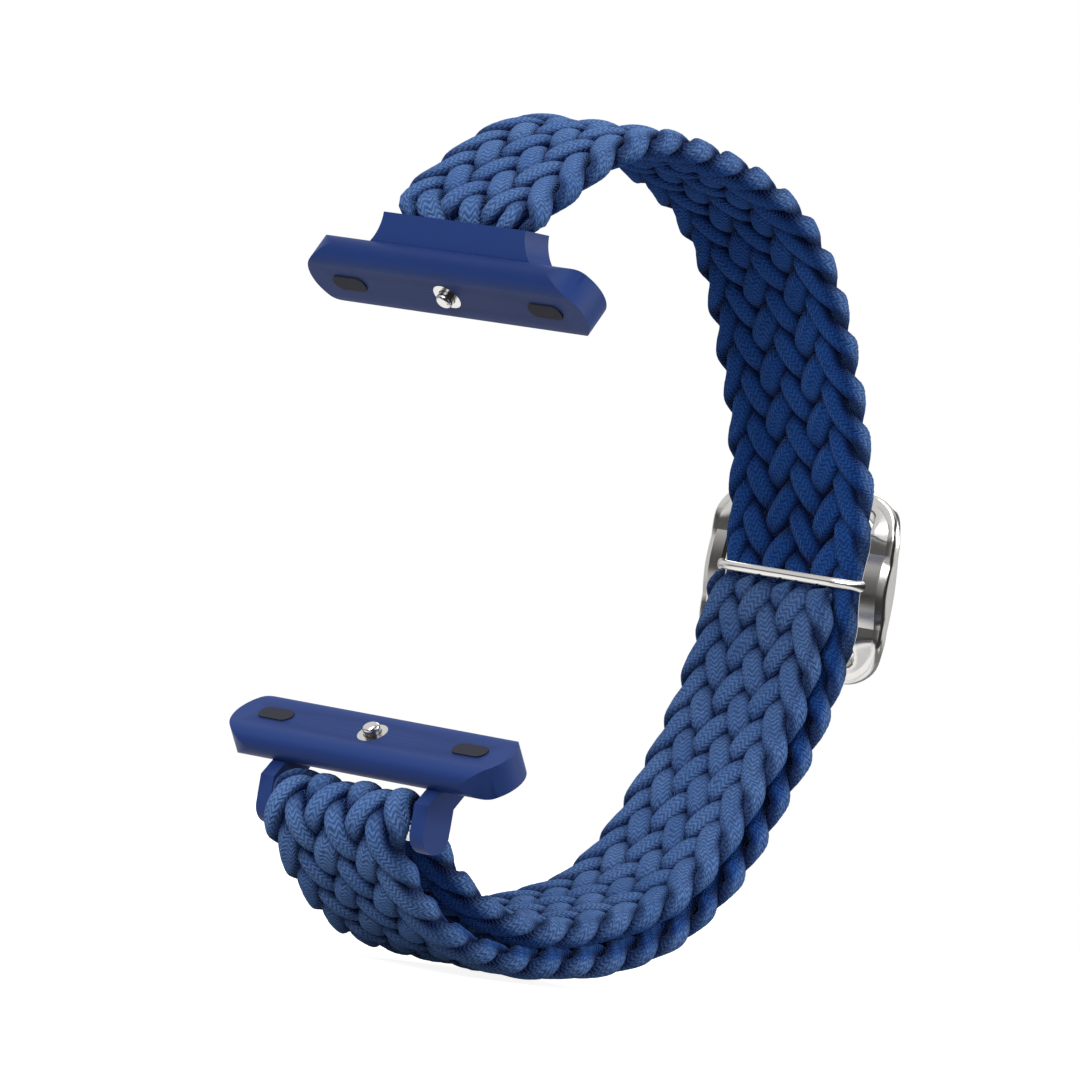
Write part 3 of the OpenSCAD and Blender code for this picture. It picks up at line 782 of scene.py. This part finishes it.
def coatFinish():
    f = Finish("blue_coat", Specular_IOR_Level=0.12, Coat_Weight=0.02, Coat_Roughness=0.4)
    place = f.place()
    grain = f.noise(place, coat["grainScale"], detail=3.0, rough=0.6)
    cloud = f.noise(place, coat["cloudScale"], detail=2.0)
    # sharp convex edges, found by pointiness, are mixed towards a lighter blue
    convexEdge = f.add("ShaderNodeNewGeometry", out="Pointiness").between(*coat["convexEdgeFrom"])
    colour = f.blend(cloud * coat["cloudPart"], coat["face"], coat["shade"])
    f.feed("Base Color", f.blend(convexEdge * coat["convexEdgePart"], colour, coat["edge"]))
    f.feed("Roughness", grain * coat["grainRough"] + cloud * coat["cloudRough"] + coat["rough"])
    f.feed("Normal", f.bump(grain, coat["grain"]))
    return f


def rubberFinish():
    f = Finish("grip_rubber", Specular_IOR_Level=0.3)
    grain = f.noise(f.place(), rubber["grainScale"], detail=3.0, rough=0.6)
    f.feed("Base Color", f.blend(grain, rubber["dark"], rubber["light"]))
    f.feed("Roughness", grain * rubber["grainRough"] + rubber["rough"])
    f.feed("Normal", f.bump(grain, rubber["grain"]))
    return f


blueCoat, gripRubber = coatFinish(), rubberFinish()
nodeFinish = {"connector": blueCoat, "pin": polished, "keeper": polished, "tube": polished,
              "plunger": polished, "spring": springSteel, "pad": gripRubber}
for name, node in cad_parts.items():
    for word, finish in nodeFinish.items():
        if word in name and node.type == "MESH":
            node.data.materials.clear()
            node.data.materials.append(finish.material)
for name in ("upper_connector", "lower_connector"):
    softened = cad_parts[name].modifiers.new("softEdges", "BEVEL")
    softened.width, softened.segments = coat["bevel"] * mm, coat["bevelSteps"]
    softened.limit_method, softened.angle_limit = "ANGLE", math.radians(coat["bevelAngle"])
    softened.harden_normals = True
print("connectors finished")

# studio; each lamp has a level, a size in metres and its place across, up and back from the
# strap's middle, as the camera sees it
studio = {"middle": (0, 0.017, -0.018), "ambient": 0.18, "ambientColour": (0.95, 0.97, 1, 1),
          "lamps": {"key": (0.38, 0.5, (-0.15, 0.85, 0.25)),
                    "front": (0.7, 0.5, (-0.35, 0.5, 0.7)),
                    "side": (0.8, 0.5, (0.75, 0.2, 0.0)),
                    "rim": (0.2, 0.4, (0.25, 0.4, -0.6))}}
white, black = (1, 1, 1, 1), (0, 0, 0, 1)
# what polished metal sees round it: white walls with dark regions, each with the heights between
# which it fades, its direction, and how it spreads round that and how dark it gets
walls = {"white": 0.95,
         "level": {"band": ((0.08, 0.36), (-0.66, -0.75, 0), (0.7, 0.95, 0.15, 0.9)),
                   "card": ((0.45, 0.75), (0.66, -0.75, 0), (0.68, 0.88, 0.0, 0.97))},
         "high": {"behind": ((0.12, 0.42), (0, 1, 0), (0.45, 0.68, 0.0, 0.85)),
                  "above": ((0.55, 0.8), (1, -0.4, 0), (0.1, 0.35, 0.0, 0.9))}}
# white paper, darker for polished metal in some directions: each with where it starts and how it
# changes further on, in metres
floor = {"z": -52.7, "reach": 0.3, "paper": 0.9, "lit": (0.5, 0.5, 0.5, 1), "dim": 0.04,
         "thrown": (0.36, 0.36, 0.36, 1), "farOff": (0.05, 0.2, 0.0, 0.6),
         "shades": {"card": ((0.66, -0.75, 0), (0.0, 0.05)),
                    "beside": ((1, 0, 0), (0.01, 0.03), (0.05, 0.08, 0.85, 0.0)),
                    "behind": ((0, 1, 0), (0.055, 0.075), (0.15, 0.22, 0.8, 0.2))}}


def lamp(name, level, size, spot):
    # the level is how bright a white surface that faces the lamp renders
    offset = across * spot[0] + upward * spot[1] + back * spot[2]
    data = bpy.data.lights.new(name, "AREA")
    data.energy, data.size = level * math.pi ** 2 * offset.length_squared, size
    light = addObject(name, data)
    light.location = Vector(studio["middle"]) + offset
    light.rotation_euler = (-offset).to_track_quat("-Z", "Y").to_euler()


def makeWorld():
    world = bpy.data.worlds.new("studio")
    bpy.context.scene.world = world
    world.use_nodes = True
    g = Graph(world.node_tree)

    def paint(colour, strength):
        return g.add("ShaderNodeBackground", None, {"Color": colour, "Strength": strength})

    way = g.add("ShaderNodeTexCoord", out="Generated")
    height = g.toward(way, (0, 0, 1))
    regions = []
    for heights, axis, spread in walls["level"].values():
        level = 1 - height.abs().between(*heights)
        regions.append(level * g.toward(way, axis).between(*spread))
    for heights, axis, spread in walls["high"].values():
        regions.append(height.between(*heights) * g.toward(way, axis).between(*spread))
    dark = reduce(Signal.most, regions)
    seen = paint(g.blend(walls["white"] - dark * walls["white"], black, white), 1.0)
    light = g.choose(g.ray("Glossy"), paint(studio["ambientColour"], studio["ambient"]), seen)
    shown = g.choose(g.ray("Camera"), light, paint(white, 1.0))
    g.add("ShaderNodeOutputWorld", None, {"Surface": shown})


def makeFloor():
    mesh = bpy.data.meshes.new("floor")
    z, reach = floor["z"] * mm, floor["reach"]
    corners = [(-reach, -reach, z), (reach, -reach, z), (reach, reach, z), (-reach, reach, z)]
    mesh.from_pydata(corners, [], [(0, 1, 2, 3)])
    ground = addObject("floor", mesh)
    # white for the camera, shaded for polished metal, grey for the light that it throws back
    f = Finish("floor_white", Base_Color=floor["thrown"], Roughness=0.9, Specular_IOR_Level=0.0)
    glow = f.add("ShaderNodeEmission", None, {"Color": white, "Strength": floor["paper"]})
    paper = f.add("ShaderNodeAddShader", None,
                  {0: glow, 1: f.add("ShaderNodeBsdfDiffuse", None, {"Color": floor["lit"]})})
    dim = f.add("ShaderNodeEmission", None, {"Color": white, "Strength": floor["dim"]})
    spot = f.place()
    away = f.add("ShaderNodeVectorMath", {"operation": "LENGTH"}, {0: spot}, out="Value")
    shade = away.between(*floor["farOff"])
    for axis, start, *change in floor["shades"].values():
        way = f.toward(spot, axis)
        dark = way.between(*start)
        for limits in change:
            dark = dark * way.between(*limits)
        shade = shade.most(dark)
    mirrored = f.choose(shade, paper, dim)
    unseen = f.choose(f.ray("Glossy"), Signal(f, f.shader.outputs[0]), mirrored)
    f.put(f.out.inputs["Surface"], f.choose(f.ray("Camera"), unseen, paper))
    mesh.materials.append(f.material)


for name, (level, size, spot) in studio["lamps"].items():
    lamp(name, level, size, spot)
bpy.context.scene.view_settings.view_transform = "Standard"
makeWorld()
makeFloor()
print("studio lit")
